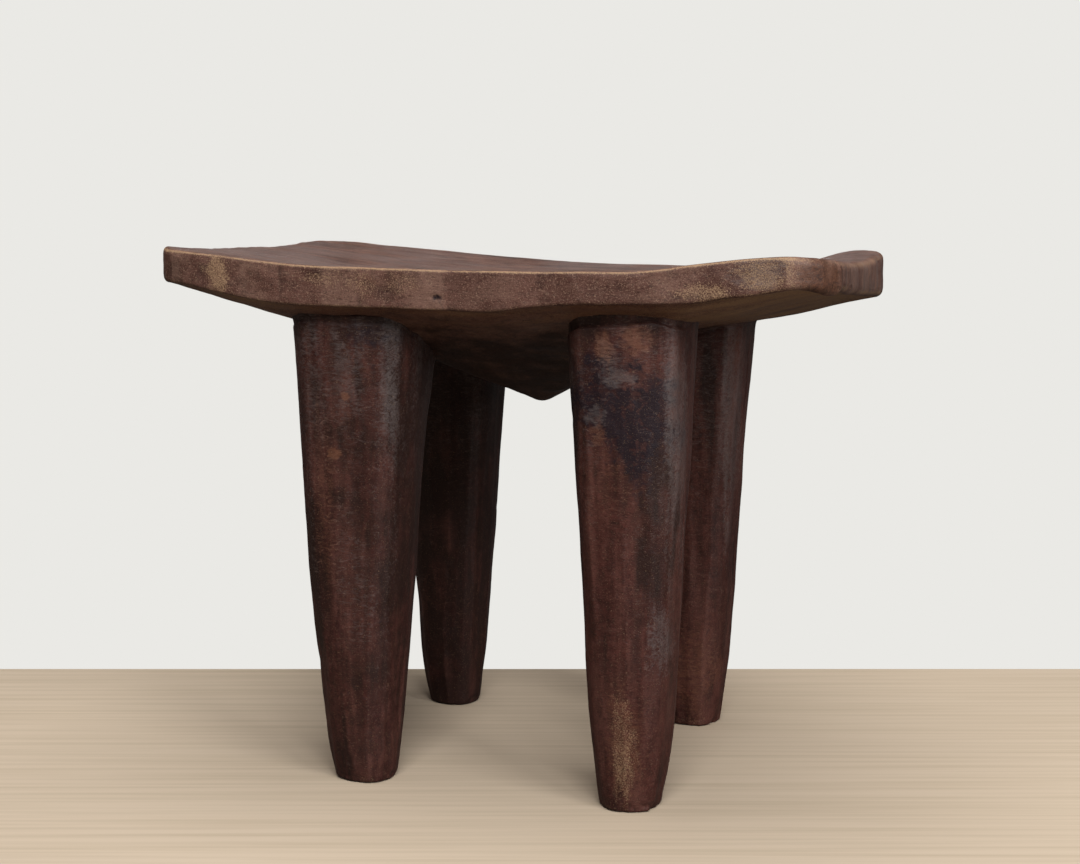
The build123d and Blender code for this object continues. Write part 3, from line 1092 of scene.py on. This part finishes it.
def floor_material():
    """Plain pale wood with a faint long grain.  It throws back less light than it shows, so
    that the underside of the stool stays dark."""
    material, tree, shader, place = new_material("pale_floor")
    grain = stretched_noise(tree, place, (3, 160, 3), 4.0, 0.6)
    seen = mix_colour(tree, contrast(tree, grain, 0.42, 0.75), TABLE_LIGHT, TABLE_GRAIN)
    rays = add_node(tree, "ShaderNodeLightPath")
    colour = mix_colour(tree, rays.outputs["Is Camera Ray"], TABLE_BOUNCE, seen)
    tree.links.new(colour, shader.inputs["Base Color"])
    shader.inputs["Roughness"].default_value = 0.6
    shader.inputs["Specular IOR Level"].default_value = 0.2
    return material


def make_floor():
    """A pale table top whose far edge lies just behind the stool."""
    left, right = -TABLE_HALF_WIDTH, TABLE_HALF_WIDTH
    corners = [(left, TABLE_FRONT), (right, TABLE_FRONT), (right, TABLE_BACK), (left, TABLE_BACK)]
    work = bmesh.new()
    bottom = work.faces.new([work.verts.new((x, y, -TABLE_THICKNESS)) for x, y in corners])
    top = bmesh.ops.extrude_face_region(work, geom=[bottom])
    for item in top["geom"]:
        if isinstance(item, bmesh.types.BMVert):
            item.co.z = 0.0
    bmesh.ops.recalc_face_normals(work, faces=work.faces)
    mesh = bpy.data.meshes.new("floor")
    work.to_mesh(mesh)
    work.free()
    mesh.materials.append(floor_material())
    floor = add_object("floor", mesh)
    floor.rotation_euler = (0, 0, CAMERA_TURN)


def add_light(name, place, size, energy, glossy=True):
    """A soft rectangular light that points at the stool; glossy lights show on its sheen."""
    middle_of_stool = Vector((0, 0, 0.2))
    data = bpy.data.lights.new(name, "AREA")
    data.shape = "RECTANGLE"
    data.size, data.size_y = size
    data.energy = energy
    light = add_object(name, data)
    light.visible_glossy = glossy
    light.location = place
    aim = middle_of_stool - Vector(place)
    light.rotation_euler = aim.to_track_quat("-Z", "Y").to_euler()
    return light


def make_world():
    """A plain pale wall all round, which lights the stool less than it shows."""
    world = bpy.data.worlds.new("studio")
    world.use_nodes = True
    tree = world.node_tree
    tree.nodes.clear()
    seen = add_node(tree, "ShaderNodeBackground", {"Color": WALL, "Strength": 1.0})
    inputs = {"Color": WALL_LIGHT, "Strength": WALL_LIGHT_STRENGTH}
    lighting = add_node(tree, "ShaderNodeBackground", inputs)
    rays = add_node(tree, "ShaderNodeLightPath")
    both = add_node(tree, "ShaderNodeMixShader", {0: rays.outputs["Is Camera Ray"]})
    tree.links.new(lighting.outputs[0], both.inputs[1])
    tree.links.new(seen.outputs[0], both.inputs[2])
    output = add_node(tree, "ShaderNodeOutputWorld")
    tree.links.new(both.outputs[0], output.inputs["Surface"])
    bpy.context.scene.world = world


def make_camera():
    """The camera stands in front of the stool, to its right, just above seat height."""
    data = bpy.data.cameras.new("camera")
    data.lens = CAMERA_LENS
    data.sensor_width = SENSOR_WIDTH
    camera = add_object("camera", data)
    camera.location = CAMERA_PLACE
    camera.rotation_euler = (math.pi / 2 - CAMERA_PITCH, 0, CAMERA_TURN)
    bpy.context.scene.camera = camera


make_floor()
make_world()
make_camera()
add_light("key", (0.80, -2.55, 2.75), (1.9, 1.4), 100)
add_light("side", (2.7, -1.75, 1.55), (1.2, 1.6), 60)
add_light("top", (0.0, 0.0, 3.0), (1.8, 1.5), 38)
back_light = add_light("back", (-0.7, 2.6, 1.1), (1.8, 1.0), 80, glossy=False)
left_light = add_light("left", (-2.5, 0.7, 1.0), (1.2, 1.4), 28, glossy=False)

# The back and left lights reach only the stool, so that the table stays plain
stool = bpy.data.collections.new("stool")
for piece in pieces:
    stool.objects.link(piece)
back_light.light_linking.receiver_collection = stool
left_light.light_linking.receiver_collection = stool
bpy.context.scene.view_settings.view_transform = "Standard"
